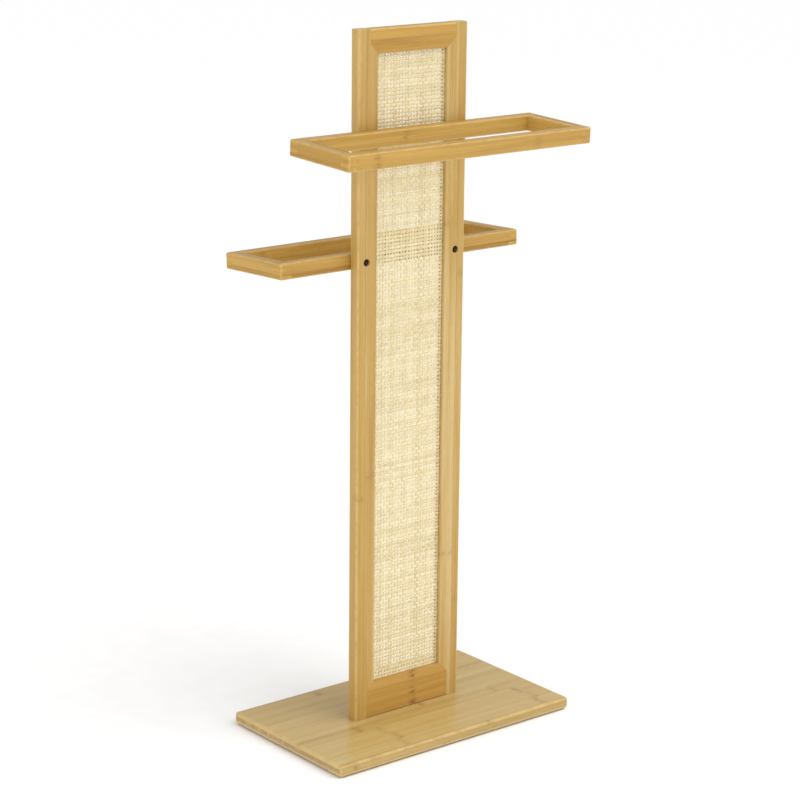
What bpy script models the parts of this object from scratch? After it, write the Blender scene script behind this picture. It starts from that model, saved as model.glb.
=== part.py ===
"""Free-standing towel rack: a bamboo frame with a cane panel on a base plate, and two towel loops.

Metres, +Z up. The origin is on the floor, under the middle of the rack. The rack's front faces -Y.
"""

import math

import bmesh
import bpy
from mathutils import Matrix, Vector

# Driving dimensions
OVERALL_HEIGHT = 0.870
RACK_WIDTH = 0.366
GAP = 0.0003

FOOT_HEIGHT = 0.0015
FOOT_RADIUS = 0.008
FOOT_INSET = 0.022

BASE_DEPTH = 0.218
BASE_THICKNESS = 0.014
BASE_CORNER = 0.004
BASE_ROUNDING = 0.0030

PANEL_WIDTH = 0.164
PANEL_THICKNESS = 0.015
STILE_WIDTH = 0.0290
TOP_RAIL_HEIGHT = 0.0290
BOTTOM_RAIL_HEIGHT = 0.0450
FRAME_ROUNDING = 0.0020

# The moulded inner edge of the frame: a shallow hollow, steepest where it leaves the flat face
MOULDING_WIDTH = 0.0118
MOULDING_DROP = 0.0018
MOULDING_STEPS = 4

# The cane lies in a rebate at the back of the frame, and four beads hold it there
CANE_DEPTH = 0.0060
CANE_THICKNESS = 0.0012
REBATE_WIDTH = 0.0080
BEAD_RECESS = 0.0006

LOOP_DEPTH = 0.1120
BAR_HEIGHT = 0.0192
BAR_THICKNESS = 0.0150
BAR_ROUNDING = 0.0016
LOOP_CORNER = 0.0030
FINGERS = 4
FRONT_LOOP_HEIGHT = 0.7335
REAR_LOOP_HEIGHT = 0.5850
LOOP_DROOP = math.radians(2.3)

# M5 socket-head bolts in counterbored holes
BOLT_RADIUS = 0.0025
BOLT_HEAD_RADIUS = 0.00425
BOLT_HEAD_HEIGHT = 0.0050
SOCKET_RADIUS = 0.0023
SOCKET_DEPTH = 0.0027
COUNTERBORE_RADIUS = 0.0048
COUNTERBORE_DEPTH = 0.0075
REAR_BOLT_FROM_EDGE = 0.0135
COUNTERBORE_CHAMFER = 0.0004
BOLT_HOLE_RADIUS = 0.0029
INSERT_RADIUS = 0.0038
INSERT_LENGTH = 0.0105
INSERT_RECESS = 0.0010
DOWEL_RADIUS = 0.0030
DOWEL_LENGTH = 0.0280
DOWEL_IN_STILE = 0.0110

# Worked out from the above
BASE_BOTTOM = FOOT_HEIGHT + GAP
BASE_TOP = BASE_BOTTOM + BASE_THICKNESS
PANEL_BOTTOM = BASE_TOP + GAP
PANEL_TOP = OVERALL_HEIGHT
FRONT_Y = -PANEL_THICKNESS / 2
BACK_Y = PANEL_THICKNESS / 2
HALF_PANEL = PANEL_WIDTH / 2
HALF_OPENING = HALF_PANEL - STILE_WIDTH
JOINT_X = HALF_OPENING + MOULDING_WIDTH
OPENING_BOTTOM = PANEL_BOTTOM + BOTTOM_RAIL_HEIGHT
OPENING_TOP = PANEL_TOP - TOP_RAIL_HEIGHT
LIP_DEPTH = CANE_DEPTH - GAP
BASE_BOLT_X = HALF_PANEL - (STILE_WIDTH - REBATE_WIDTH) / 2
REAR_LOOP_BOLT_X = HALF_PANEL - REAR_BOLT_FROM_EDGE
FRONT_LOOP_BOLT_X = BASE_BOLT_X
BASE_DOWEL_X = HALF_OPENING * 0.6

BAMBOO = ("bamboo", (0.58, 0.36, 0.13), 0.45, 0.0)
BAMBOO_PALE = ("bamboo_pale", (0.66, 0.45, 0.20), 0.45, 0.0)
CANE = ("cane", (0.78, 0.68, 0.42), 0.60, 0.0)
BEECH = ("dowel_wood", (0.62, 0.42, 0.22), 0.60, 0.0)
BLACK_STEEL = ("black_steel", (0.03, 0.03, 0.03), 0.40, 1.0)
ZINC = ("zinc", (0.55, 0.53, 0.48), 0.35, 1.0)
FELT = ("felt", (0.10, 0.09, 0.08), 0.95, 0.0)


def clear_scene():
    for obj in list(bpy.data.objects):
        bpy.data.objects.remove(obj, do_unlink=True)


def material(finish):
    name, colour, roughness, metallic = finish
    found = bpy.data.materials.get(name)
    if found:
        return found
    made = bpy.data.materials.new(name)
    made.use_nodes = True
    shader = made.node_tree.nodes["Principled BSDF"]
    shader.inputs["Base Color"].default_value = (*colour, 1.0)
    shader.inputs["Roughness"].default_value = roughness
    shader.inputs["Metallic"].default_value = metallic
    made.diffuse_color = (*colour, 1.0)
    return made


def new_object(name, mesh_builder, finish=None, parent=None, location=(0, 0, 0), rotation=(0, 0, 0)):
    """An object from a bmesh. With no finish it is a cutter, which isn't rendered."""
    mesh = bpy.data.meshes.new(name)
    bmesh.ops.recalc_face_normals(mesh_builder, faces=mesh_builder.faces)
    mesh_builder.to_mesh(mesh)
    mesh_builder.free()
    obj = bpy.data.objects.new(name, mesh)
    bpy.context.scene.collection.objects.link(obj)
    obj.location = location
    obj.rotation_euler = rotation
    obj.parent = parent
    if finish:
        mesh.materials.append(material(finish))
        mesh.shade_smooth()
        mesh.set_sharp_from_angle(angle=math.radians(35))
    else:
        obj.hide_render = True
        obj.display_type = "WIRE"
    return obj


def prism(outline, start, end, axis):
    """A closed outline in the plane across an axis, drawn out along it.

    X takes (y, z), Y takes (x, z), Z takes (x, y).
    """
    place = {
        "X": lambda a, b, along: (along, a, b),
        "Y": lambda a, b, along: (a, along, b),
        "Z": lambda a, b, along: (a, b, along),
    }[axis]
    shape = bmesh.new()
    rings = [[shape.verts.new(place(a, b, along)) for a, b in outline] for along in (start, end)]
    shape.faces.new(rings[0])
    shape.faces.new(reversed(rings[1]))
    count = len(outline)
    for i in range(count):
        j = (i + 1) % count
        shape.faces.new((rings[0][i], rings[1][i], rings[1][j], rings[0][j]))
    return shape


def rounded_outline(low, high, radius, steps=3, corners="all"):
    """A rectangle from low to high, anticlockwise, with round corners.

    corners names those to round, across then up: a is the low side and b the high one.
    """
    outline = []
    sides = (
        ("aa", low[0], low[1], 180),
        ("ba", high[0], low[1], 270),
        ("bb", high[0], high[1], 0),
        ("ab", low[0], high[1], 90),
    )
    for name, x, y, turn in sides:
        if corners != "all" and name not in corners:
            outline.append((x, y))
            continue
        centre_x = x + radius if name[0] == "a" else x - radius
        centre_y = y + radius if name[1] == "a" else y - radius
        for step in range(steps + 1):
            angle = math.radians(turn + 90 * step / steps)
            outline.append((centre_x + radius * math.cos(angle), centre_y + radius * math.sin(angle)))
    return outline


def turned(profile, segments=24, axis="Z"):
    """A solid of revolution. The profile is (radius, height) from one end on the axis to the other."""
    shape = bmesh.new()
    rings = []
    for radius, height in profile:
        if radius == 0:
            rings.append([shape.verts.new((0, 0, height))])
            continue
        angles = [2 * math.pi * i / segments for i in range(segments)]
        circle = [(radius * math.cos(a), radius * math.sin(a)) for a in angles]
        rings.append([shape.verts.new((x, y, height)) for x, y in circle])
    for lower, upper in zip(rings, rings[1:]):
        for i in range(segments):
            j = (i + 1) % segments
            below = [lower[i % len(lower)], lower[j % len(lower)]]
            above = [upper[j % len(upper)], upper[i % len(upper)]]
            shape.faces.new(list(dict.fromkeys(below + above)))
    turns = {
        "Z": Matrix.Identity(4),
        "Y": Matrix.Rotation(-math.pi / 2, 4, "X"),
        "X": Matrix.Rotation(math.pi / 2, 4, "Y"),
    }
    bmesh.ops.transform(shape, matrix=turns[axis], verts=shape.verts)
    return shape


def tube(inner, outer, length, segments=24):
    """A plain sleeve along +Y from the origin."""
    shape = bmesh.new()
    rings = []
    for radius, along in ((inner, 0), (outer, 0), (outer, length), (inner, length)):
        angles = [2 * math.pi * i / segments for i in range(segments)]
        rings.append([shape.verts.new((radius * math.cos(a), along, radius * math.sin(a))) for a in angles])
    for near, far in zip(rings, rings[1:] + rings[:1]):
        for i in range(segments):
            j = (i + 1) % segments
            shape.faces.new((near[i], near[j], far[j], far[i]))
    return shape


def boolean(obj, cutter, operation="DIFFERENCE"):
    modifier = obj.modifiers.new(cutter.name, "BOOLEAN")
    modifier.operation = operation
    modifier.solver = "EXACT"
    modifier.object = cutter


def round_cutter(name, profile, location, axis, flip=False, parent=None):
    """A turned cutter that starts at the location and runs along the axis, or against it with flip."""
    shape = turned(profile, 24, axis)
    if flip:
        direction = {"X": (1, 0, 0), "Y": (0, 1, 0), "Z": (0, 0, 1)}[axis]
        bmesh.ops.transform(shape, matrix=Matrix.Scale(-1, 4, direction), verts=shape.verts)
    return new_object(name, shape, parent=parent, location=location)


def plain_hole(radius, depth, overrun=0.001):
    return [(0, -overrun), (radius, -overrun), (radius, depth), (0, depth)]


def counterbored_hole(depth, through):
    """A socket-head hole: a small chamfer, the head's bore, then the bolt's hole."""
    mouth = COUNTERBORE_RADIUS + COUNTERBORE_CHAMFER
    return [
        (0, -0.001),
        (mouth + 0.001, -0.001),
        (COUNTERBORE_RADIUS, COUNTERBORE_CHAMFER),
        (COUNTERBORE_RADIUS, depth),
        (BOLT_HOLE_RADIUS, depth),
        (BOLT_HOLE_RADIUS, through + 0.001),
        (0, through + 0.001),
    ]


# The upright frame


def edge_profile(width):
    """Across a frame member: from its outer edge (0) to the opening, against depth from the front face."""
    r = FRAME_ROUNDING
    back = PANEL_THICKNESS
    flat = width - MOULDING_WIDTH
    turns = [math.radians(30 * i) for i in range(4)]
    front_corner = [(r - r * math.cos(a), r - r * math.sin(a)) for a in turns]
    back_corner = [(r - r * math.sin(a), back - r + r * math.cos(a)) for a in turns]
    hollow = []
    for step in range(MOULDING_STEPS + 1):
        along = step / MOULDING_STEPS
        hollow.append((flat + MOULDING_WIDTH * along, MOULDING_DROP * math.sin(along * math.pi / 2)))
    return front_corner + hollow + [(width, back)] + back_corner


def joint_line(end, opening_edge, toward_end, shift):
    """The line between a stile and a rail, on the right as seen from the front.

    It runs from the frame's end inwards: up the flat, then mitred to the opening. shift moves it towards
    the stile.
    """
    margin = 0.001
    corner = opening_edge + toward_end * MOULDING_WIDTH
    return [
        (JOINT_X + shift, end + toward_end * 0.01),
        (JOINT_X + shift, corner - toward_end * shift * math.tan(math.pi / 8)),
        (HALF_OPENING - margin, opening_edge - toward_end * (margin + shift * math.sqrt(2))),
    ]


def stile(name, side, rebate):
    """A full-height member. side is -1 for the left and 1 for the right."""
    across = [(side * (HALF_PANEL - a), FRONT_Y + depth) for a, depth in edge_profile(STILE_WIDTH)]
    obj = new_object(name, prism(across, PANEL_BOTTOM, PANEL_TOP, "Z"), BAMBOO)
    low = joint_line(PANEL_BOTTOM, OPENING_BOTTOM, -1, GAP / 2)
    high = joint_line(PANEL_TOP, OPENING_TOP, 1, GAP / 2)
    outer = HALF_PANEL + 0.01
    zone = [(outer, low[0][1])] + low + high[::-1] + [(outer, high[0][1])]
    zone = [(side * x, z) for x, z in zone]
    boolean(obj, new_object(f"zone_{name}", prism(zone, FRONT_Y - 0.01, BACK_Y + 0.01, "Y")), "INTERSECT")
    boolean(obj, rebate)
    return obj


def rail(name, end, opening_edge, toward_end, rebate):
    """A cross member between the stiles. toward_end is -1 for the bottom rail and 1 for the top one."""
    height = abs(end - opening_edge)
    across = [(FRONT_Y + depth, end - toward_end * a) for a, depth in edge_profile(height)]
    obj = new_object(name, prism(across, -JOINT_X - 0.005, JOINT_X + 0.005, "X"), BAMBOO)
    right = joint_line(end, opening_edge, toward_end, -GAP / 2)
    zone = right + [(-x, z) for x, z in reversed(right)]
    boolean(obj, new_object(f"zone_{name}", prism(zone, FRONT_Y - 0.01, BACK_Y + 0.01, "Y")), "INTERSECT")
    boolean(obj, rebate)
    return obj


def rebate_cutter():
    half = HALF_OPENING + REBATE_WIDTH
    low = (-half, OPENING_BOTTOM - REBATE_WIDTH)
    high = (half, OPENING_TOP + REBATE_WIDTH)
    outline = rounded_outline(low, high, 0, 1, ())
    return new_object("rebate", prism(outline, FRONT_Y + LIP_DEPTH, BACK_Y + 0.002, "Y"))


def corner_dowels(rail_name, rail_obj, heights, stiles):
    """Dowels through each end of a rail into the stiles, with their holes."""
    for side, label in ((-1, "left"), (1, "right")):
        for number, z in enumerate(heights, 1):
            start = side * (JOINT_X + DOWEL_IN_STILE)
            place = (start, 0.0, z)
            radius = DOWEL_RADIUS
            bevel = 0.0006
            length = DOWEL_LENGTH
            near_end = [(0, 0), (radius - bevel, 0), (radius, bevel)]
            far_end = [(radius, length - bevel), (radius - bevel, length), (0, length)]
            profile = near_end + far_end
            shape = turned(profile, 16, "X")
            if side > 0:
                bmesh.ops.transform(shape, matrix=Matrix.Scale(-1, 4, (1, 0, 0)), verts=shape.verts)
            new_object(f"{rail_name}_dowel_{label}_{number}", shape, BEECH, location=place)
            hole = plain_hole(radius + GAP, length + GAP, GAP)
            cutter = round_cutter(f"hole_{rail_name}_{label}_{number}", hole, place, "X", flip=side > 0)
            boolean(rail_obj, cutter)
            boolean(stiles[side], cutter)


def beads():
    """Four strips in the rebate behind the cane, the long pair between the short pair."""
    front = FRONT_Y + CANE_DEPTH + CANE_THICKNESS + GAP
    back = BACK_Y - BEAD_RECESS
    reach = HALF_OPENING + REBATE_WIDTH - GAP
    inner = HALF_OPENING + 0.0005
    low = OPENING_BOTTOM - REBATE_WIDTH + GAP
    high = OPENING_TOP + REBATE_WIDTH - GAP
    short_pair = (
        ("bead_bottom", low, OPENING_BOTTOM - 0.0005, "b"),
        ("bead_top", OPENING_TOP + 0.0005, high, "a"),
    )
    for name, z0, z1, near in short_pair:
        outline = rounded_outline((front, z0), (back, z1), 0.0012, 2, ("b" + near,))
        new_object(name, prism(outline, -reach, reach, "X"), BAMBOO_PALE)
    for name, side in (("bead_left", -1), ("bead_right", 1)):
        x0, x1 = sorted((side * inner, side * reach))
        near = "b" if side < 0 else "a"
        outline = rounded_outline((x0, front), (x1, back), 0.0012, 2, (near + "b",))
        z0 = OPENING_BOTTOM - 0.0005 + GAP
        z1 = OPENING_TOP + 0.0005 - GAP
        new_object(name, prism(outline, z0, z1, "Z"), BAMBOO_PALE)


def cane_panel():
    """The cane as one thin plain sheet, which covers the opening and reaches into the rebate."""
    margin = REBATE_WIDTH - 2 * GAP
    low = (-HALF_OPENING - margin, OPENING_BOTTOM - margin)
    high = (HALF_OPENING + margin, OPENING_TOP + margin)
    outline = [low, (high[0], low[1]), high, (low[0], high[1])]
    front = FRONT_Y + CANE_DEPTH
    new_object("cane_panel", prism(outline, front, front + CANE_THICKNESS, "Y"), CANE)


def upright():
    rebate = rebate_cutter()
    stiles = {-1: stile("left_stile", -1, rebate), 1: stile("right_stile", 1, rebate)}
    top = rail("top_rail", PANEL_TOP, OPENING_TOP, 1, rebate)
    bottom = rail("bottom_rail", PANEL_BOTTOM, OPENING_BOTTOM, -1, rebate)
    corner_dowels("top_rail", top, (PANEL_TOP - 0.0065, PANEL_TOP - 0.0150), stiles)
    corner_dowels("bottom_rail", bottom, (PANEL_BOTTOM + 0.0200, PANEL_BOTTOM + 0.0305), stiles)
    cane_panel()
    beads()
    return stiles, bottom


# The base


def base_plate():
    half_width = RACK_WIDTH / 2
    half_depth = BASE_DEPTH / 2
    outline = rounded_outline((-half_width, -half_depth), (half_width, half_depth), BASE_CORNER, 4)
    obj = new_object("base_plate", prism(outline, BASE_BOTTOM, BASE_TOP, "Z"), BAMBOO_PALE)
    bevel = obj.modifiers.new("eased_edges", "BEVEL")
    bevel.width = BASE_ROUNDING
    bevel.segments = 3
    bevel.limit_method = "ANGLE"
    bevel.angle_limit = math.radians(60)
    return obj


def feet():
    reach_x = RACK_WIDTH / 2 - FOOT_INSET
    reach_y = BASE_DEPTH / 2 - FOOT_INSET
    bevel = 0.0004
    profile = [(0, 0), (FOOT_RADIUS - bevel, 0), (FOOT_RADIUS, bevel)]
    profile += [(FOOT_RADIUS, FOOT_HEIGHT), (0, FOOT_HEIGHT)]
    for label_y, y in (("front", -reach_y), ("back", reach_y)):
        for label_x, x in (("left", -reach_x), ("right", reach_x)):
            new_object(f"foot_{label_y}_{label_x}", turned(profile, 20), FELT, location=(x, y, 0))


def socket_bolt(name, shank, parent, location, rotation):
    """A socket-head bolt along +Y: the head's top at the origin, the shank beyond it."""
    head = BOLT_HEAD_HEIGHT
    radius = BOLT_HEAD_RADIUS
    profile = [
        (0, 0),
        (radius - 0.0005, 0),
        (radius, 0.0005),
        (radius, head),
        (BOLT_RADIUS, head),
        (BOLT_RADIUS, head + shank - 0.0006),
        (BOLT_RADIUS - 0.0006, head + shank),
        (0, head + shank),
    ]
    obj = new_object(name, turned(profile, 24, "Y"), BLACK_STEEL, parent, location, rotation)
    turns = [math.radians(60 * i) for i in range(6)]
    hexagon = [(SOCKET_RADIUS * math.cos(turn), SOCKET_RADIUS * math.sin(turn)) for turn in turns]
    hollow = prism(hexagon, -0.001, SOCKET_DEPTH, "Y")
    socket = new_object(f"socket_{name}", hollow, None, parent, location, rotation)
    boolean(obj, socket)
    return obj


def base_fixings(base, stiles, bottom_rail):
    """Bolts up through the base into inserts in the stiles' ends, and two dowels into the bottom rail."""
    depth = COUNTERBORE_DEPTH
    insert_start = PANEL_BOTTOM + 0.0008
    shank = BASE_TOP - BASE_BOTTOM - depth + INSERT_LENGTH
    upwards = (math.pi / 2, 0, 0)
    for side, label in ((-1, "left"), (1, "right")):
        x = side * BASE_BOLT_X
        bored = counterbored_hole(depth, BASE_THICKNESS)
        boolean(base, round_cutter(f"base_hole_{label}", bored, (x, 0, BASE_BOTTOM), "Z"))
        blind = plain_hole(INSERT_RADIUS + GAP, INSERT_LENGTH + 0.004)
        boolean(stiles[side], round_cutter(f"stile_end_hole_{label}", blind, (x, 0, PANEL_BOTTOM), "Z"))
        head_z = BASE_BOTTOM + depth - BOLT_HEAD_HEIGHT - GAP
        socket_bolt(f"base_bolt_{label}", shank, None, (x, 0, head_z), upwards)
        insert = tube(BOLT_RADIUS + GAP, INSERT_RADIUS, INSERT_LENGTH)
        new_object(f"base_insert_{label}", insert, ZINC, None, (x, 0, insert_start), upwards)

        dowel_x = side * BASE_DOWEL_X
        start = BASE_TOP - 0.008
        radius = DOWEL_RADIUS
        length = 0.024
        profile = [(0, 0), (radius, 0.0006), (radius, length - 0.0006), (0, length)]
        new_object(f"base_dowel_{label}", turned(profile, 16), BEECH, location=(dowel_x, 0, start))
        bored = plain_hole(radius + GAP, length + GAP, GAP)
        dowel_hole = round_cutter(f"base_dowel_hole_{label}", bored, (dowel_x, 0, start), "Z")
        boolean(base, dowel_hole)
        boolean(bottom_rail, dowel_hole)


# The towel loops


def ring_shape():
    """The whole loop in one piece: its back face on y = 0, reaching out along +Y, its underside on z = 0."""
    section = rounded_outline((0, 0), (BAR_THICKNESS, BAR_HEIGHT), BAR_ROUNDING, 3)
    corner_steps = 4
    half = RACK_WIDTH / 2
    corners = ((-half, 0, 180), (half, 0, 270), (half, LOOP_DEPTH, 0), (-half, LOOP_DEPTH, 90))
    shape = bmesh.new()
    rings = []
    for x, y, turn in corners:
        inward = Vector((-1 if x > 0 else 1, -1 if y > 0 else 1))
        for step in range(corner_steps + 1):
            angle = math.radians(turn + 90 * step / corner_steps)
            ring = []
            for inset, z in section:
                radius = max(LOOP_CORNER - inset, 0.0)
                centre = Vector((x, y)) + inward * (inset + radius)
                edge = centre + radius * Vector((math.cos(angle), math.sin(angle)))
                ring.append(shape.verts.new((edge.x, edge.y, z)))
            rings.append(ring)
    count = len(section)
    for near, far in zip(rings, rings[1:] + rings[:1]):
        for i in range(count):
            j = (i + 1) % count
            shape.faces.new((near[i], far[i], far[j], near[j]))
    bmesh.ops.remove_doubles(shape, verts=shape.verts, dist=1e-7)
    return shape


def comb(low, high, tooth, teeth_out):
    """A bar's outline seen from its side, with interlocking fingers at both ends.

    The bar runs from low to high. teeth_out are the finger layers that reach to the end. The others stop a
    tooth short.
    """
    layer = BAR_HEIGHT / FINGERS
    margin = 0.002
    half_gap = GAP / 2

    def ends(index):
        out = index in teeth_out
        reach = margin if out else -tooth - half_gap
        return low - reach, high + reach

    left, right = [], []
    for index in range(FINGERS):
        out = index in teeth_out
        squeeze = half_gap if out else -half_gap
        bottom = -margin if index == 0 else index * layer + squeeze
        top = BAR_HEIGHT + margin if index == FINGERS - 1 else (index + 1) * layer - squeeze
        a, b = ends(index)
        left += [(a, bottom), (a, top)]
        right += [(b, bottom), (b, top)]
    return left + right[::-1]


def towel_loop(label, height, facing, stiles):
    """Four finger-jointed bars bolted to the stiles. facing is -1 for the front loop, 1 for the rear one."""
    pivot = bpy.data.objects.new(f"{label}_loop", None)
    bpy.context.scene.collection.objects.link(pivot)
    pivot.location = (0, facing * (PANEL_THICKNESS / 2 + GAP), height)
    pivot.rotation_euler = (-LOOP_DROOP, 0, 0 if facing > 0 else math.pi)

    half = RACK_WIDTH / 2
    thickness = BAR_THICKNESS
    side_layers = [i for i in range(FINGERS) if i % 2 == 0]
    long_layers = [i for i in range(FINGERS) if i % 2 == 1]
    long_outline = comb(-half, half, thickness, long_layers)
    side_outline = comb(0, LOOP_DEPTH, thickness, side_layers)
    margin = 0.002
    side_a, side_b = ("left", "right") if facing > 0 else ("right", "left")
    zones = {
        "inner_bar": prism(long_outline, -margin, thickness, "Y"),
        "outer_bar": prism(long_outline, LOOP_DEPTH - thickness, LOOP_DEPTH + margin, "Y"),
        f"{side_a}_bar": prism(side_outline, -half - margin, -half + thickness, "X"),
        f"{side_b}_bar": prism(side_outline, half - thickness, half + margin, "X"),
    }
    bars = {}
    for part, zone in zones.items():
        cutter = new_object(f"zone_{label}_{part}", zone, parent=pivot)
        bar = new_object(f"{label}_{part}", ring_shape(), BAMBOO, parent=pivot)
        boolean(bar, cutter, "INTERSECT")
        bars[part] = bar

    # The bolts are level, though the loop droops
    fixings = bpy.data.objects.new(f"{label}_loop_fixings", None)
    bpy.context.scene.collection.objects.link(fixings)
    fixings.location = (0, facing * (PANEL_THICKNESS / 2 + GAP), height + BAR_HEIGHT / 2)
    fixings.rotation_euler = (0, 0, 0 if facing > 0 else math.pi)
    bolt_x = REAR_LOOP_BOLT_X if facing > 0 else FRONT_LOOP_BOLT_X
    head_top = -(PANEL_THICKNESS + GAP - COUNTERBORE_DEPTH + BOLT_HEAD_HEIGHT + GAP)
    shank = PANEL_THICKNESS - COUNTERBORE_DEPTH + INSERT_LENGTH
    for side, end in ((-1, side_a), (1, side_b)):
        x = side * bolt_x
        socket_bolt(f"{label}_bolt_{end}", shank, fixings, (x, head_top, 0), (0, 0, 0))
        insert = tube(BOLT_RADIUS + GAP, INSERT_RADIUS, INSERT_LENGTH)
        new_object(f"{label}_insert_{end}", insert, ZINC, fixings, (x, INSERT_RECESS, 0))
        blind = plain_hole(INSERT_RADIUS + GAP, INSERT_RECESS + INSERT_LENGTH + GAP)
        insert_hole = round_cutter(f"{label}_insert_hole_{end}", blind, (x, 0, 0), "Y", parent=fixings)
        boolean(bars["inner_bar"], insert_hole)
        deep = counterbored_hole(COUNTERBORE_DEPTH, PANEL_THICKNESS)
        start = (x, -PANEL_THICKNESS - GAP, 0)
        bolt_hole = round_cutter(f"{label}_stile_hole_{end}", deep, start, "Y", parent=fixings)
        boolean(stiles[side * facing], bolt_hole)


clear_scene()
stiles, bottom_rail = upright()
base = base_plate()
feet()
base_fixings(base, stiles, bottom_rail)
towel_loop("front", FRONT_LOOP_HEIGHT, -1, stiles)
towel_loop("rear", REAR_LOOP_HEIGHT, 1, stiles)
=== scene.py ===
"""The looks of the free-standing towel rack: laminated bamboo, a woven cane web, bolts and felt pads.

Metres, +Z up, the rack's front faces -Y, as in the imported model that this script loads.
"""

import math
import random

import bmesh
import bpy
from mathutils import Euler, Matrix, Vector


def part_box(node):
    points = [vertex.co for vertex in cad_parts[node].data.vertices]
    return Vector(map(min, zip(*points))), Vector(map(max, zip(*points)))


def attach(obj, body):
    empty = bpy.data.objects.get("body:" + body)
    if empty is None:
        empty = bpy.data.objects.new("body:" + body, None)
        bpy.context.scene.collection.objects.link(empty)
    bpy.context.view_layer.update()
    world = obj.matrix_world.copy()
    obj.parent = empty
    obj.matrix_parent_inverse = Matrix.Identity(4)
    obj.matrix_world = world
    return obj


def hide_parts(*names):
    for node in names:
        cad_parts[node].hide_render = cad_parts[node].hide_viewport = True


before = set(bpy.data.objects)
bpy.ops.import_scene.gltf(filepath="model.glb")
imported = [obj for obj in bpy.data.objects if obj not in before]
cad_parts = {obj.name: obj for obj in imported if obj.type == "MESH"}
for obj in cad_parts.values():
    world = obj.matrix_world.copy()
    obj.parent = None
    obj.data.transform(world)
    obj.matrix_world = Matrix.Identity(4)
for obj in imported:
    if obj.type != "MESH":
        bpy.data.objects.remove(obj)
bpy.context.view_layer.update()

# Camera, as the rack is seen: from its front left and a little above
CAMERA_PLACE = (-1.8434, -2.2649, 1.1937)
CAMERA_AZIMUTH = -38.99
CAMERA_ELEVATION = 14.95
CAMERA_ROLL = 0.585
CAMERA_LENS = 111.3

# The cane's weave
CANE_PITCH_ACROSS = 0.0045
CANE_PITCH_UP = 0.0045
UPRIGHT_WIDTH = 0.0031
CROSSING_WIDTH = 0.0035
STRAND_THICKNESS = 0.00042
STRAND_SWAY = 0.00020
CANE_SEED = 11

# Glued joints are drawn nearly closed: each board's corners move outwards by this much
JOINT_CLOSING = 0.0002

# The light from all round, which reads as plain white where it is seen directly
AIR_LIGHT = 0.68
AIR_SEEN_EXTRA = 0.36

# The towel loops lean outwards by this much
LOOP_DROOP = math.radians(2.3)


def tone(red, green, blue):
    """A colour given as it looks on a screen, 0 to 255, turned into the linear values that shaders take."""
    linear = []
    for channel in (red, green, blue):
        share = channel / 255
        linear.append(share / 12.92 if share <= 0.04045 else ((share + 0.055) / 1.055) ** 2.4)
    return (*linear, 1.0)


# Small tools for making shader nodes


def node(tree, kind, inputs=None, **settings):
    made = tree.nodes.new(kind)
    for name, value in settings.items():
        setattr(made, name, value)
    for key, value in (inputs or {}).items():
        if isinstance(value, bpy.types.NodeSocket):
            tree.links.new(value, made.inputs[key])
        else:
            made.inputs[key].default_value = value
    return made


def calc(tree, operation, a, b=0.0, c=0.0, clamp=False):
    return node(tree, "ShaderNodeMath", {0: a, 1: b, 2: c}, operation=operation, use_clamp=clamp).outputs[0]


def ease(tree, value, low, high, to_low=0.0, to_high=1.0):
    """A smooth step: to_low up to low, and to_high from high."""
    inputs = {0: value, 1: low, 2: high, 3: to_low, 4: to_high}
    return node(tree, "ShaderNodeMapRange", inputs, interpolation_type="SMOOTHSTEP").outputs[0]


def blend(tree, share, first, second, kind="MIX"):
    made = node(tree, "ShaderNodeMix", {0: share, 6: first, 7: second}, data_type="RGBA", blend_type=kind)
    return made.outputs[2]


def stretched(tree, vector, scale):
    return node(tree, "ShaderNodeVectorMath", {0: vector, 1: scale}, operation="MULTIPLY").outputs[0]


def moved(tree, vector, by):
    return node(tree, "ShaderNodeVectorMath", {0: vector, 1: by}, operation="ADD").outputs[0]


def joined(tree, x=0.0, y=0.0, z=0.0):
    return node(tree, "ShaderNodeCombineXYZ", {0: x, 1: y, 2: z}).outputs[0]


def noise(tree, vector, scale=1.0, detail=2.0, roughness=0.5):
    inputs = {"Vector": vector, "Scale": scale, "Detail": detail, "Roughness": roughness}
    return node(tree, "ShaderNodeTexNoise", inputs).outputs["Fac"]


def new_group(name, inputs, outputs):
    """An empty shader group. inputs are (name, kind, default) and outputs are (name, kind)."""
    tree = bpy.data.node_groups.new(name, "ShaderNodeTree")
    for label, kind, default in inputs:
        socket = tree.interface.new_socket(name=label, in_out="INPUT", socket_type=f"NodeSocket{kind}")
        if default is not None:
            socket.default_value = default
    for label, kind in outputs:
        tree.interface.new_socket(name=label, in_out="OUTPUT", socket_type=f"NodeSocket{kind}")
    return tree, tree.nodes.new("NodeGroupInput"), tree.nodes.new("NodeGroupOutput")


def place_group(tree, group, inputs):
    made = node(tree, "ShaderNodeGroup", node_tree=group)
    for key, value in inputs.items():
        if isinstance(value, bpy.types.NodeSocket):
            tree.links.new(value, made.inputs[key])
        else:
            made.inputs[key].default_value = value
    return made


# Shader groups


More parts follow.
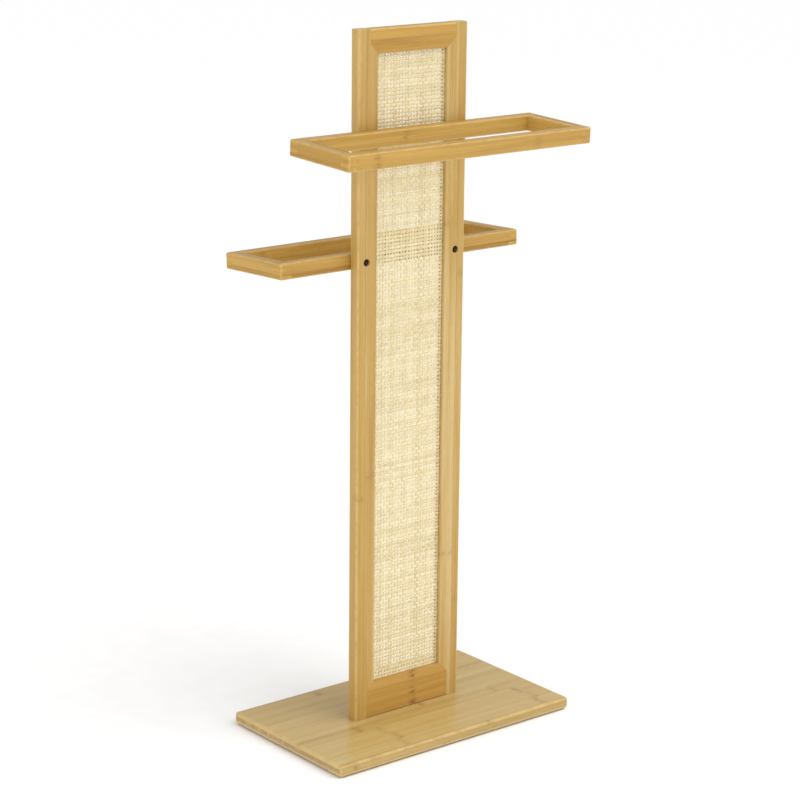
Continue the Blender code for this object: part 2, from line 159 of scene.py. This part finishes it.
def make_bamboo_strips():
    """Bamboo glued up from strips.

    Position is in metres: x along the grain, y across the face, z into the board.
    """
    tree, given, result = new_group(
        "bamboo_strips",
        (
            ("Position", "Vector", None),
            ("Grain Axis", "Vector", (1.0, 0.0, 0.0)),
            ("Strip Width", "Float", 0.0195),
            ("Strip Thickness", "Float", 0.0054),
            ("Strip Offset", "Float", 0.0),
            ("Seed", "Float", 0.0),
            ("Knuckle Spacing", "Float", 0.30),
            ("Knuckle Offset", "Float", 0.0),
            ("Knuckle Scatter", "Float", 0.6),
            ("Knuckle Stain", "Float", 1.0),
            ("Glue Line", "Float", 0.42),
            ("Pale", "Color", tone(206, 178, 120)),
            ("Middle", "Color", tone(190, 153, 81)),
            ("Deep", "Color", tone(161, 122, 50)),
            ("Contrast", "Float", 1.0),
            ("Core Shade", "Float", 0.0),
        ),
        (("Color", "Color"), ("Roughness", "Float"), ("Height", "Float")),
    )
    source = given.outputs
    split = node(tree, "ShaderNodeSeparateXYZ", {0: source["Position"]}).outputs
    along, across, deep = split[0], split[1], split[2]

    layer_place = calc(tree, "ADD", calc(tree, "DIVIDE", deep, source["Strip Thickness"]), 0.5)
    layer = calc(tree, "FLOOR", layer_place)
    shifted = calc(tree, "ADD", calc(tree, "DIVIDE", across, source["Strip Width"]), source["Strip Offset"])
    strip_place = calc(tree, "MULTIPLY_ADD", layer, 0.37, shifted)
    strip = calc(tree, "FLOOR", strip_place)
    identity = joined(tree, strip, layer, source["Seed"])
    dice = node(tree, "ShaderNodeTexWhiteNoise", {"Vector": identity}, noise_dimensions="3D")
    dice_parts = node(tree, "ShaderNodeSeparateColor", {0: dice.outputs["Color"]}).outputs

    # Each strip gets its own stretch of grain
    own_along = calc(tree, "MULTIPLY", dice_parts[0], 3.7)
    own_across = calc(tree, "MULTIPLY", strip, 0.113)
    own = joined(tree, own_along, own_across, source["Seed"])
    grain = moved(tree, source["Position"], own)
    broad = noise(tree, stretched(tree, grain, (3.0, 75.0, 75.0)), detail=2.0)
    streak = noise(tree, stretched(tree, grain, (9.0, 520.0, 520.0)), detail=3.0, roughness=0.6)
    fibre = noise(tree, stretched(tree, grain, (40.0, 2600.0, 2600.0)), detail=2.0, roughness=0.7)
    cells = node(
        tree,
        "ShaderNodeTexVoronoi",
        {"Vector": stretched(tree, grain, (55.0, 1150.0, 1150.0)), "Scale": 1.0},
        feature="F1",
    )
    bundle = ease(tree, cells.outputs["Distance"], 0.12, 0.42, 1.0, 0.0)

    # Knuckles, where the cane had its joints: a dark seam with a stained halo
    turn = calc(tree, "DIVIDE", along, source["Knuckle Spacing"])
    turn = calc(tree, "ADD", turn, source["Knuckle Offset"])
    scatter = calc(tree, "MULTIPLY", calc(tree, "SUBTRACT", dice_parts[1], 0.5), source["Knuckle Scatter"])
    turn = calc(tree, "ADD", turn, scatter)
    nearest = calc(tree, "FRACT", calc(tree, "ADD", turn, 0.5))
    nearest = calc(tree, "ABSOLUTE", calc(tree, "SUBTRACT", nearest, 0.5))
    from_knuckle = calc(tree, "MULTIPLY", nearest, source["Knuckle Spacing"])
    wander = noise(tree, stretched(tree, grain, (60.0, 260.0, 260.0)), detail=3.0)
    wander = calc(tree, "MULTIPLY", calc(tree, "SUBTRACT", wander, 0.42), 0.010)
    from_knuckle = calc(tree, "ADD", from_knuckle, wander)
    seam = ease(tree, from_knuckle, 0.0002, 0.0018, 1.0, 0.0)
    halo = ease(tree, from_knuckle, 0.0, 0.0105, 1.0, 0.0)
    fleck_noise = noise(tree, stretched(tree, grain, (190.0, 1000.0, 1000.0)), detail=2.0)
    fleck = ease(tree, fleck_noise, 0.46, 0.62)
    patch_noise = noise(tree, stretched(tree, grain, (14.0, 90.0, 90.0)), detail=1.0)
    patch = ease(tree, patch_noise, 0.40, 0.60, 0.25, 1.0)
    patch = calc(tree, "MULTIPLY", patch, source["Knuckle Stain"])
    stain = calc(tree, "MULTIPLY", halo, calc(tree, "MULTIPLY_ADD", fleck, 0.85, 0.15))
    stain = calc(tree, "MULTIPLY", stain, patch)
    seam_mark = calc(tree, "MULTIPLY", seam, patch)

    # Glue lines between strips
    side_gap = calc(tree, "PINGPONG", strip_place, 0.5)
    side_gap = calc(tree, "MULTIPLY", side_gap, source["Strip Width"])
    layer_gap = calc(tree, "PINGPONG", layer_place, 0.5)
    layer_gap = calc(tree, "MULTIPLY", layer_gap, source["Strip Thickness"])
    glue = ease(tree, calc(tree, "MINIMUM", side_gap, layer_gap), 0.00010, 0.00042, 1.0, 0.0)

    shade = calc(tree, "MULTIPLY", calc(tree, "SUBTRACT", dice_parts[2], 0.5), 0.50)
    shade = calc(tree, "MULTIPLY_ADD", calc(tree, "SUBTRACT", broad, 0.5), 1.10, shade)
    shade = calc(tree, "MULTIPLY_ADD", calc(tree, "SUBTRACT", streak, 0.5), 0.62, shade)
    shade = calc(tree, "MULTIPLY_ADD", calc(tree, "SUBTRACT", fibre, 0.5), 0.35, shade)
    shade = calc(tree, "MULTIPLY_ADD", shade, source["Contrast"], 0.5, clamp=True)
    colour = blend(tree, ease(tree, shade, 0.0, 0.5), source["Deep"], source["Middle"])
    colour = blend(tree, ease(tree, shade, 0.5, 1.0), colour, source["Pale"])
    colour = blend(tree, calc(tree, "MULTIPLY", bundle, 0.20), colour, tone(140, 98, 46))
    colour = blend(tree, calc(tree, "MULTIPLY", glue, source["Glue Line"]), colour, tone(132, 92, 42))
    colour = blend(tree, calc(tree, "MULTIPLY", stain, 0.62), colour, tone(132, 82, 30))
    colour = blend(tree, calc(tree, "MULTIPLY", seam_mark, 0.26), colour, tone(92, 56, 22))

    # On a cut end the bundles show as dark dots, and the middle layer can be darker. Cut ends are also
    # painted paler than the faces, a painted lift against the shade in the joint gaps.
    facing = node(tree, "ShaderNodeTexCoord").outputs["Normal"]
    inputs = {0: facing, 1: source["Grain Axis"]}
    end = node(tree, "ShaderNodeVectorMath", inputs, operation="DOT_PRODUCT").outputs["Value"]
    end = ease(tree, calc(tree, "ABSOLUTE", end), 0.72, 0.92)
    dots = node(
        tree,
        "ShaderNodeTexVoronoi",
        {"Vector": stretched(tree, grain, (1.0, 1250.0, 1250.0)), "Scale": 1.0},
        feature="F1",
    )
    dot = ease(tree, dots.outputs["Distance"], 0.20, 0.38, 1.0, 0.0)
    # Painted lift: the cut end is mixed towards the pale tone to offset the shade in the gaps
    paled_cut = blend(tree, 0.60, colour, source["Pale"])
    paled_cut = blend(tree, calc(tree, "MULTIPLY", dot, 0.14), paled_cut, tone(124, 84, 36))
    core = calc(tree, "SUBTRACT", 1.0, calc(tree, "ABSOLUTE", layer), clamp=True)
    core = calc(tree, "MULTIPLY", core, ease(tree, broad, 0.35, 0.55, 0.3, 1.0))
    paled_cut = blend(tree, calc(tree, "MULTIPLY", core, source["Core Shade"]), paled_cut, tone(140, 96, 44))
    colour = blend(tree, end, colour, paled_cut)

    rough = calc(tree, "MULTIPLY_ADD", fibre, 0.16, 0.36)
    rough = calc(tree, "MULTIPLY_ADD", end, 0.14, rough)
    height = calc(tree, "MULTIPLY", fibre, 0.5)
    height = calc(tree, "MULTIPLY_ADD", streak, 0.3, height)
    height = calc(tree, "MULTIPLY_ADD", glue, -0.9, height)
    height = calc(tree, "MULTIPLY_ADD", seam, -0.6, height)
    height = calc(tree, "MULTIPLY_ADD", halo, 0.5, height)

    for label, value in (("Color", colour), ("Roughness", rough), ("Height", height)):
        tree.links.new(value, result.inputs[label])
    return tree


def make_rubbed_highlit_arris():
    """Rounded edges, a little lighter and smoother: partly lacquer that hands and cloths have rubbed thin,
    partly a painted highlight along the arris.
    """
    tree, given, result = new_group(
        "rubbed_highlit_arris",
        (
            ("Color", "Color", (0.5, 0.5, 0.5, 1.0)),
            ("Roughness", "Float", 0.5),
            ("Wear And Highlight", "Float", 0.5),
            ("Worn And Highlit Color", "Color", (0.8, 0.8, 0.8, 1.0)),
            ("Position", "Vector", None),
        ),
        (("Color", "Color"), ("Roughness", "Float")),
    )
    source = given.outputs
    arris = node(tree, "ShaderNodeAttribute", attribute_name="arris").outputs["Fac"]
    patchy = ease(tree, noise(tree, source["Position"], scale=90.0, detail=3.0), 0.30, 0.62, 0.35, 1.0)
    amount = calc(tree, "MULTIPLY", calc(tree, "MULTIPLY", arris, patchy), source["Wear And Highlight"])
    # Painted highlight and worn lacquer: the rounded faces are mixed towards a lighter colour
    colour = blend(tree, amount, source["Color"], source["Worn And Highlit Color"])
    rough = calc(tree, "MULTIPLY_ADD", amount, -0.10, source["Roughness"])
    tree.links.new(colour, result.inputs["Color"])
    tree.links.new(rough, result.inputs["Roughness"])
    return tree


def make_handling():
    """Faint smears and settled dust, which break up a surface's gloss."""
    tree, given, result = new_group(
        "handling",
        (
            ("Color", "Color", (0.5, 0.5, 0.5, 1.0)),
            ("Roughness", "Float", 0.5),
            ("Amount", "Float", 0.5),
            ("Position", "Vector", None),
        ),
        (("Color", "Color"), ("Roughness", "Float")),
    )
    source = given.outputs
    smear = noise(tree, source["Position"], scale=22.0, detail=4.0, roughness=0.6)
    smear = calc(tree, "SUBTRACT", smear, 0.5)
    rough = calc(tree, "MULTIPLY", smear, calc(tree, "MULTIPLY", source["Amount"], 0.40))
    rough = calc(tree, "ADD", source["Roughness"], rough, clamp=True)
    facing = node(tree, "ShaderNodeNewGeometry").outputs["Normal"]
    up = node(tree, "ShaderNodeSeparateXYZ", {0: facing}).outputs[2]
    grains = ease(tree, noise(tree, source["Position"], scale=900.0, detail=2.0), 0.60, 0.78)
    dust = calc(tree, "MULTIPLY", ease(tree, up, 0.5, 1.0), grains)
    dust = calc(tree, "MULTIPLY", dust, source["Amount"])
    colour = blend(tree, calc(tree, "MULTIPLY", dust, 0.16), source["Color"], tone(214, 206, 190))
    tree.links.new(colour, result.inputs["Color"])
    tree.links.new(rough, result.inputs["Roughness"])
    return tree


def make_cane_skin():
    """Peeled cane: pale straw, with fine lines along each strand and a tone of its own for each."""
    tree, given, result = new_group(
        "cane_skin",
        (
            ("Along", "Vector", None),
            ("Strand", "Float", 0.0),
            ("Seed", "Float", 0.0),
            ("Color A", "Color", tone(240, 226, 184)),
            ("Color B", "Color", tone(200, 176, 116)),
        ),
        (("Color", "Color"), ("Roughness", "Float"), ("Height", "Float")),
    )
    source = given.outputs
    identity = joined(tree, source["Strand"], source["Seed"], 3.0)
    dice = node(tree, "ShaderNodeTexWhiteNoise", {"Vector": identity}, noise_dimensions="3D")
    dice = dice.outputs["Value"]
    lines = noise(tree, stretched(tree, source["Along"], (30.0, 4200.0, 4200.0)), detail=2.0, roughness=0.6)
    patches = noise(tree, stretched(tree, source["Along"], (70.0, 90.0, 90.0)), detail=3.0)
    share = calc(tree, "MULTIPLY", calc(tree, "SUBTRACT", dice, 0.45), 0.50)
    share = calc(tree, "MULTIPLY_ADD", calc(tree, "SUBTRACT", lines, 0.5), 0.9, share)
    share = calc(tree, "MULTIPLY_ADD", calc(tree, "SUBTRACT", patches, 0.5), 1.1, share)
    share = calc(tree, "ADD", share, 0.30, clamp=True)
    colour = blend(tree, share, source["Color A"], source["Color B"])
    rough = calc(tree, "MULTIPLY_ADD", lines, 0.25, 0.45)
    tree.links.new(colour, result.inputs["Color"])
    tree.links.new(rough, result.inputs["Roughness"])
    tree.links.new(lines, result.inputs["Height"])
    return tree


BAMBOO_STRIPS = make_bamboo_strips()
RUBBED_HIGHLIT_ARRIS = make_rubbed_highlit_arris()
HANDLING = make_handling()
CANE_SKIN = make_cane_skin()


# Materials


def new_material(name):
    material = bpy.data.materials.new(name)
    material.use_nodes = True
    tree = material.node_tree
    return material, tree, tree.nodes["Principled BSDF"]


def object_place(tree):
    return node(tree, "ShaderNodeTexCoord").outputs["Object"]


AXES = {"X": 0, "Y": 1, "Z": 2}


def board_position(tree, axes, origin, tilt):
    """The board's own coordinates from the rack's.

    axes names which of X, Y and Z run along, across and into the board.
    """
    turn = Euler((tilt, 0, 0))
    start = -(turn.to_matrix() @ Vector(origin))
    inputs = {"Vector": object_place(tree), "Location": start, "Rotation": turn}
    level = node(tree, "ShaderNodeMapping", inputs, vector_type="POINT").outputs[0]
    parts = node(tree, "ShaderNodeSeparateXYZ", {0: level}).outputs
    return joined(tree, *(parts[AXES[axis]] for axis in axes))


def bamboo(name, axes, origin, tilt=0.0, coat=0.15, wear_and_highlight=0.45, **strips):
    """Lacquered laminated bamboo for one board."""
    material, tree, shader = new_material(name)
    position = board_position(tree, axes, origin, tilt)
    grain_axis = tuple(1.0 if AXES[axes[0]] == i else 0.0 for i in range(3))
    inputs = {"Position": position, "Grain Axis": grain_axis, **strips}
    wood = place_group(tree, BAMBOO_STRIPS, inputs).outputs
    # The rounded edges get a painted highlight as well as lighter rubbed lacquer
    worn_and_highlit = place_group(
        tree,
        RUBBED_HIGHLIT_ARRIS,
        {
            "Color": wood["Color"],
            "Roughness": wood["Roughness"],
            "Wear And Highlight": wear_and_highlight,
            "Worn And Highlit Color": tone(224, 192, 124),
            "Position": position,
        },
    ).outputs
    handled = place_group(
        tree,
        HANDLING,
        {"Color": worn_and_highlit["Color"], "Roughness": worn_and_highlit["Roughness"], "Amount": 0.35, "Position": position},
    ).outputs
    bump = node(tree, "ShaderNodeBump", {"Strength": 0.35, "Distance": 0.00012, "Height": wood["Height"]})
    tree.links.new(handled["Color"], shader.inputs["Base Color"])
    tree.links.new(handled["Roughness"], shader.inputs["Roughness"])
    tree.links.new(bump.outputs[0], shader.inputs["Normal"])
    shader.inputs["Coat Weight"].default_value = coat
    shader.inputs["Coat Roughness"].default_value = 0.2
    shader.inputs["Specular IOR Level"].default_value = 0.3
    return material


def cane_strands(name, axes, pitch, seed):
    material, tree, shader = new_material(name)
    position = board_position(tree, axes, (0, 0, 0), 0)
    across = node(tree, "ShaderNodeSeparateXYZ", {0: position}).outputs[1]
    number = calc(tree, "ROUND", calc(tree, "DIVIDE", across, pitch))
    skin = place_group(tree, CANE_SKIN, {"Along": position, "Strand": number, "Seed": seed}).outputs
    bump = node(tree, "ShaderNodeBump", {"Strength": 0.4, "Distance": 0.00008, "Height": skin["Height"]})
    tree.links.new(skin["Color"], shader.inputs["Base Color"])
    tree.links.new(skin["Roughness"], shader.inputs["Roughness"])
    tree.links.new(bump.outputs[0], shader.inputs["Normal"])
    shader.inputs["Sheen Weight"].default_value = 0.15
    return material


def metal(name, base, worn, roughness, wear_and_highlight):
    material, tree, shader = new_material(name)
    place = object_place(tree)
    grain = noise(tree, place, scale=1400.0, detail=3.0)
    colour = blend(tree, ease(tree, grain, 0.35, 0.7), base, worn)
    rough = calc(tree, "MULTIPLY_ADD", grain, 0.18, roughness - 0.09)
    worn_and_highlit = place_group(
        tree,
        RUBBED_HIGHLIT_ARRIS,
        {
            "Color": colour,
            "Roughness": rough,
            "Wear And Highlight": wear_and_highlight,
            "Worn And Highlit Color": tone(150, 146, 140),
            "Position": place,
        },
    ).outputs
    handled = place_group(
        tree,
        HANDLING,
        {"Color": worn_and_highlit["Color"], "Roughness": worn_and_highlit["Roughness"], "Amount": 0.6, "Position": place},
    ).outputs
    bump = node(tree, "ShaderNodeBump", {"Strength": 0.2, "Distance": 0.00003, "Height": grain})
    tree.links.new(handled["Color"], shader.inputs["Base Color"])
    tree.links.new(handled["Roughness"], shader.inputs["Roughness"])
    tree.links.new(bump.outputs[0], shader.inputs["Normal"])
    shader.inputs["Metallic"].default_value = 1.0
    return material


def felt():
    material, tree, shader = new_material("pressed_felt")
    place = object_place(tree)
    fluff = noise(tree, place, scale=2400.0, detail=4.0, roughness=0.7)
    colour = blend(tree, ease(tree, fluff, 0.3, 0.7), tone(62, 56, 50), tone(104, 96, 86))
    inputs = {"Color": colour, "Roughness": 0.9, "Amount": 0.8, "Position": place}
    handled = place_group(tree, HANDLING, inputs).outputs
    bump = node(tree, "ShaderNodeBump", {"Strength": 0.7, "Distance": 0.0003, "Height": fluff})
    tree.links.new(handled["Color"], shader.inputs["Base Color"])
    tree.links.new(handled["Roughness"], shader.inputs["Roughness"])
    tree.links.new(bump.outputs[0], shader.inputs["Normal"])
    shader.inputs["Sheen Weight"].default_value = 0.4
    return material


# Fitting the materials to the boards


def mark_arrises(obj, tilt=0.0):
    """Writes 1 on each face that is neither flat nor in the shallow moulding, for the rubbed edges and
    their painted highlight.
    """
    mesh = obj.data
    turn = Euler((-tilt, 0, 0)).to_matrix()
    limit = math.cos(math.radians(14))
    rounded = [max(map(abs, turn.transposed() @ face.normal)) < limit for face in mesh.polygons]
    arris = mesh.attributes.new("arris", "FLOAT", "FACE")
    arris.data.foreach_set("value", [float(each) for each in rounded])
    return rounded


def keep_creases(obj, rounded):
    """Marks as sharp the edges between faces that aren't rounded, such as where the moulding begins."""
    mesh = obj.data

    def ends(pair):
        return frozenset(tuple(round(value, 6) for value in mesh.vertices[i].co) for i in pair)

    beside = {}
    for face in mesh.polygons:
        for pair in face.edge_keys:
            beside.setdefault(ends(pair), []).append(face)
    for edge in mesh.edges:
        faces = beside[ends(edge.vertices)]
        if len(faces) == 2 and not rounded[faces[0].index] and not rounded[faces[1].index]:
            edge.use_edge_sharp = faces[0].normal.angle(faces[1].normal) > math.radians(8)


def dress(node_name, material, tilt=0.0, eased=0.0, crisp=False):
    """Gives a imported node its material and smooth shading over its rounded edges.

    eased is the width of a small bevel on its sharp edges, and crisp keeps the moulding's creases.
    """
    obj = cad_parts[node_name]
    rounded = mark_arrises(obj, tilt)
    obj.data.materials.clear()
    obj.data.materials.append(material)
    obj.data.polygons.foreach_set("use_smooth", [True] * len(obj.data.polygons))
    if crisp:
        keep_creases(obj, rounded)
    weld = obj.modifiers.new("weld", "WELD")
    weld.merge_threshold = 1e-6
    if eased:
        flat = obj.modifiers.new("whole_faces", "DECIMATE")
        flat.decimate_type = "DISSOLVE"
        flat.angle_limit = math.radians(0.6)
        close = obj.modifiers.new("closer_joints", "DISPLACE")
        close.strength = JOINT_CLOSING
        close.mid_level = 0.0
        soft = obj.modifiers.new("eased", "BEVEL")
        soft.width = eased
        soft.segments = 2
        soft.limit_method = "ANGLE"
        soft.angle_limit = math.radians(50)
        soft.harden_normals = True
    normals = obj.modifiers.new("even_shading", "WEIGHTED_NORMAL")
    normals.keep_sharp = crisp
    normals.weight = 80


def middle(node_name):
    low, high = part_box(node_name)
    return (low + high) / 2


def dress_frame():
    edge = {"left_stile": 0.415, "right_stile": 0.10}
    seeds = {"left_stile": 3.0, "right_stile": 8.0}
    knuckles = {"left_stile": 0.36, "right_stile": 0.12}
    for name in ("left_stile", "right_stile"):
        low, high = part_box(name)
        origin = (low.x, (low.y + high.y) / 2, low.z)
        values = {
            "Strip Offset": edge[name],
            "Strip Thickness": 0.030,
            "Seed": seeds[name],
            "Knuckle Offset": knuckles[name],
            "Knuckle Spacing": 0.42,
            "Knuckle Scatter": 1.0,
            "Knuckle Stain": 0.6,
            "Glue Line": 0.60,
            "Contrast": 1.15,
        }
        dress(name, bamboo(name + "_bamboo", "ZXY", origin, **values), eased=0.00012, crisp=True)
    warm = {"Pale": tone(204, 164, 84), "Middle": tone(188, 145, 64), "Deep": tone(154, 110, 38)}
    darker = {"Pale": tone(196, 154, 80), "Middle": tone(180, 137, 60), "Deep": tone(146, 104, 40)}
    bottom_knuckle = {"Knuckle Offset": -0.03, "Knuckle Scatter": 0.0, "Knuckle Stain": 2.2}
    rails = (
        ("top_rail", {"Seed": 5.0, "Knuckle Offset": 0.5, "Knuckle Spacing": 0.4, **warm}),
        ("bottom_rail", {"Seed": 12.0, **bottom_knuckle, **darker}),
    )
    for name, values in rails:
        low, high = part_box(name)
        origin = (0, (low.y + high.y) / 2, low.z)
        values["Strip Width"] = 0.060
        values["Strip Offset"] = 0.1
        dress(name, bamboo(name + "_bamboo", "XZY", origin, **values), eased=0.00012, crisp=True)
    for number, name in enumerate(("bead_top", "bead_bottom", "bead_left", "bead_right")):
        axes = "XZY" if name in ("bead_top", "bead_bottom") else "ZXY"
        values = {"Seed": 20.0 + number, "Strip Width": 0.011, "Strip Offset": 0.5, "Knuckle Spacing": 0.27}
        dress(name, bamboo(name + "_bamboo", axes, middle(name), **values), eased=0.0002)


def dress_loops():
    """The loops' bars lean with the loop, so their grain is turned with them."""
    for loop, tilt, seed in (("front", -LOOP_DROOP, 30.0), ("rear", LOOP_DROOP, 40.0)):
        for number, (bar, axes) in enumerate(
            (("inner_bar", "XZY"), ("outer_bar", "XZY"), ("left_bar", "YZX"), ("right_bar", "YZX"))
        ):
            name = f"{loop}_{bar}"
            values = {
                "Seed": seed + number,
                "Strip Width": 0.024,
                "Strip Offset": 0.5,
                "Strip Thickness": 0.0054,
                "Knuckle Spacing": 0.24,
                "Knuckle Offset": (0.10, 0.584, 0.31, 0.30)[number],
                "Knuckle Scatter": 0.02,
                "Contrast": 1.1,
                "Glue Line": 0.20,
                "Pale": tone(198, 158, 80),
                "Middle": tone(181, 140, 62),
                "Deep": tone(150, 106, 38),
            }
            material = bamboo(name + "_bamboo", axes, middle(name), tilt, coat=0.08, **values)
            dress(name, material, tilt, eased=0.00008)


def dress_base():
    values = {
        "Seed": 51.0,
        "Strip Width": 0.0213,
        "Strip Thickness": 0.0051,
        "Strip Offset": 0.5,
        "Knuckle Spacing": 0.22,
        "Knuckle Scatter": 1.0,
        "Knuckle Stain": 1.1,
        "Glue Line": 0.20,
        "Contrast": 0.8,
        "Core Shade": 0.55,
        "Pale": tone(201, 177, 120),
        "Middle": tone(188, 159, 96),
        "Deep": tone(164, 131, 68),
    }
    dress("base_plate", bamboo("base_bamboo", "XYZ", middle("base_plate"), coat=0.45, **values))


def dress_fixings():
    black = metal("blackened_steel", tone(44, 32, 24), tone(70, 54, 40), 0.48, 0.4)
    zinc = metal("zinc_plate", tone(176, 172, 160), tone(204, 198, 182), 0.38, 0.3)
    pad = felt()
    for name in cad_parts:
        if "bolt" in name:
            dress(name, black)
        elif "insert" in name:
            dress(name, zinc)
        elif "dowel" in name:
            axes = "ZXY" if name.startswith("base") else "XZY"
            values = {
                "Pale": tone(214, 184, 138),
                "Middle": tone(198, 162, 112),
                "Deep": tone(172, 134, 86),
            }
            dress(name, bamboo(name + "_beech", axes, middle(name), coat=0.0, **values))
        elif name.startswith("foot"):
            dress(name, pad)


# The woven cane


def strand(shape, path, width, thickness, across, facing):
    """A flat strand with a lens-shaped section along a path.

    across and facing are the directions of its width and its thickness.
    """
    section = [(-0.5, 0), (-0.28, -0.5), (0.28, -0.5), (0.5, 0), (0.28, 0.5), (-0.28, 0.5)]
    rings = []
    for point in path:
        ring = []
        for a, b in section:
            ring.append(shape.verts.new(point + across * (a * width) + facing * (b * thickness)))
        rings.append(ring)
    for near, far in zip(rings, rings[1:]):
        for i in range(len(section)):
            j = (i + 1) % len(section)
            shape.faces.new((near[i], near[j], far[j], far[i]))
    shape.faces.new(rings[0][::-1])
    shape.faces.new(rings[-1])


def weave():
    """Plain weave: each strand passes over one crossing strand and under the next."""
    low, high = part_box("cane_panel")
    chance = random.Random(CANE_SEED)
    middle_y = (low.y + high.y) / 2
    upright_count = int((high.x - low.x) / CANE_PITCH_ACROSS)
    crossing_count = int((high.z - low.z) / CANE_PITCH_UP)
    first_x = (low.x + high.x - CANE_PITCH_ACROSS * (upright_count - 1)) / 2
    first_z = (low.z + high.z - CANE_PITCH_UP * (crossing_count - 1)) / 2
    uprights = [first_x + i * CANE_PITCH_ACROSS + chance.gauss(0, 0.00022) for i in range(upright_count)]
    crossings = [first_z + j * CANE_PITCH_UP + chance.gauss(0, 0.00024) for j in range(crossing_count)]

    def halfway_stops(low_end, high_end, stops):
        """The crossings and the points midway between them, with both ends."""
        made = [(low_end, None)]
        for number, stop in enumerate(stops):
            made.append((stop, number))
            if number + 1 < len(stops):
                made.append(((stop + stops[number + 1]) / 2, None))
        made.append((high_end, None))
        return made

    def build(name, places, stops, ends, along, across, strand_width, parity):
        shape = bmesh.new()
        for number, place in enumerate(places):
            width = strand_width * (1 + chance.gauss(0, 0.10))
            drift = chance.uniform(0, 2 * math.pi)
            path = []
            for stop, crossing in halfway_stops(*ends, stops):
                sway = 0.0
                if crossing is not None:
                    sway = STRAND_SWAY if (crossing + number + parity) % 2 else -STRAND_SWAY
                aside = 0.00018 * math.sin(stop * 55 + drift) + 0.00010 * math.sin(stop * 310 + 2 * drift)
                path.append(along * stop + across * (place + aside) + Vector((0, middle_y + sway, 0)))
            strand(shape, path, width, STRAND_THICKNESS, across, Vector((0, 1, 0)))
        bmesh.ops.recalc_face_normals(shape, faces=shape.faces)
        mesh = bpy.data.meshes.new(name)
        shape.to_mesh(mesh)
        shape.free()
        mesh.polygons.foreach_set("use_smooth", [True] * len(mesh.polygons))
        piece = bpy.data.objects.new(name, mesh)
        bpy.context.scene.collection.objects.link(piece)
        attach(piece, "root")
        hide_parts("cane_panel")
        return piece

    right, up = Vector((1, 0, 0)), Vector((0, 0, 1))
    standing = build("cane_uprights", uprights, crossings, (low.z, high.z), up, right, UPRIGHT_WIDTH, 0)
    lying = build("cane_crossings", crossings, uprights, (low.x, high.x), right, up, CROSSING_WIDTH, 1)
    standing.data.materials.append(cane_strands("cane_upright_strands", "ZXY", CANE_PITCH_ACROSS, 1.0))
    lying.data.materials.append(cane_strands("cane_crossing_strands", "XZY", CANE_PITCH_UP, 2.0))


# The studio


def soft_light(name, place, aim, size, power):
    data = bpy.data.lights.new(name, "AREA")
    data.shape = "SQUARE"
    data.size = size
    data.energy = power
    lamp = bpy.data.objects.new(name, data)
    bpy.context.scene.collection.objects.link(lamp)
    lamp.location = place
    lamp.rotation_euler = (Vector(aim) - Vector(place)).to_track_quat("-Z", "Y").to_euler()


def studio():
    scene = bpy.context.scene
    world = bpy.data.worlds.new("studio_air")
    scene.world = world
    world.use_nodes = True
    air = world.node_tree
    air.nodes["Background"].inputs["Color"].default_value = (1.0, 1.0, 1.0, 1.0)
    seen = node(air, "ShaderNodeLightPath").outputs["Is Camera Ray"]
    strength = calc(air, "MULTIPLY_ADD", seen, AIR_SEEN_EXTRA, AIR_LIGHT)
    air.links.new(strength, air.nodes["Background"].inputs["Strength"])
    scene.view_settings.view_transform = "Standard"

    shape = bmesh.new()
    reach = 30.0
    drop = -0.0003
    around = ((-reach, -reach), (reach, -reach), (reach, reach), (-reach, reach))
    shape.faces.new([shape.verts.new((x, y, drop)) for x, y in around])
    mesh = bpy.data.meshes.new("studio_floor")
    shape.to_mesh(mesh)
    shape.free()
    floor = bpy.data.objects.new("studio_floor", mesh)
    scene.collection.objects.link(floor)
    material, tree, shader = new_material("pale_paper_floor")
    mottle = noise(tree, object_place(tree), scale=30.0, detail=3.0)
    colour = blend(tree, ease(tree, mottle, 0.3, 0.7), (0.95, 0.95, 0.95, 1.0), (0.97, 0.97, 0.97, 1.0))
    tree.links.new(colour, shader.inputs["Base Color"])
    from_below = node(tree, "ShaderNodeNewGeometry").outputs["Backfacing"]
    tree.links.new(calc(tree, "SUBTRACT", 1.0, from_below), shader.inputs["Alpha"])
    shader.inputs["Roughness"].default_value = 0.9
    shader.inputs["Specular IOR Level"].default_value = 0.0
    mesh.materials.append(material)

    sun = bpy.data.lights.new("key_light", "SUN")
    sun.energy = 1.35
    sun.angle = math.radians(50)
    key = bpy.data.objects.new("key_light", sun)
    scene.collection.objects.link(key)
    key.rotation_euler = Vector((-0.27, 0.50, -0.82)).to_track_quat("-Z", "Y").to_euler()
    soft_light("left_fill", (-3.2, -0.8, 1.3), (0, 0, 0.45), 2.2, 26.0)
    soft_light("right_fill", (2.8, -1.5, 1.2), (0, 0, 0.50), 1.6, 14.0)


def camera():
    data = bpy.data.cameras.new("camera")
    data.lens = CAMERA_LENS
    data.sensor_width = 36.0
    data.clip_start = 0.05
    data.clip_end = 200.0
    azimuth, elevation, roll = (math.radians(v) for v in (CAMERA_AZIMUTH, CAMERA_ELEVATION, CAMERA_ROLL))
    level_share = math.cos(elevation)
    back = Vector((math.sin(azimuth) * level_share, -math.cos(azimuth) * level_share, math.sin(elevation)))
    level = Vector((math.cos(azimuth), math.sin(azimuth), 0))
    up = back.cross(level)
    right = math.cos(roll) * level + math.sin(roll) * up
    up = back.cross(right)
    obj = bpy.data.objects.new("camera", data)
    bpy.context.scene.collection.objects.link(obj)
    turn = Matrix((right, up, back)).transposed()
    obj.matrix_world = Matrix.Translation(CAMERA_PLACE) @ turn.to_4x4()
    bpy.context.scene.camera = obj


dress_frame()
dress_loops()
dress_base()
dress_fixings()
weave()
studio()
camera()
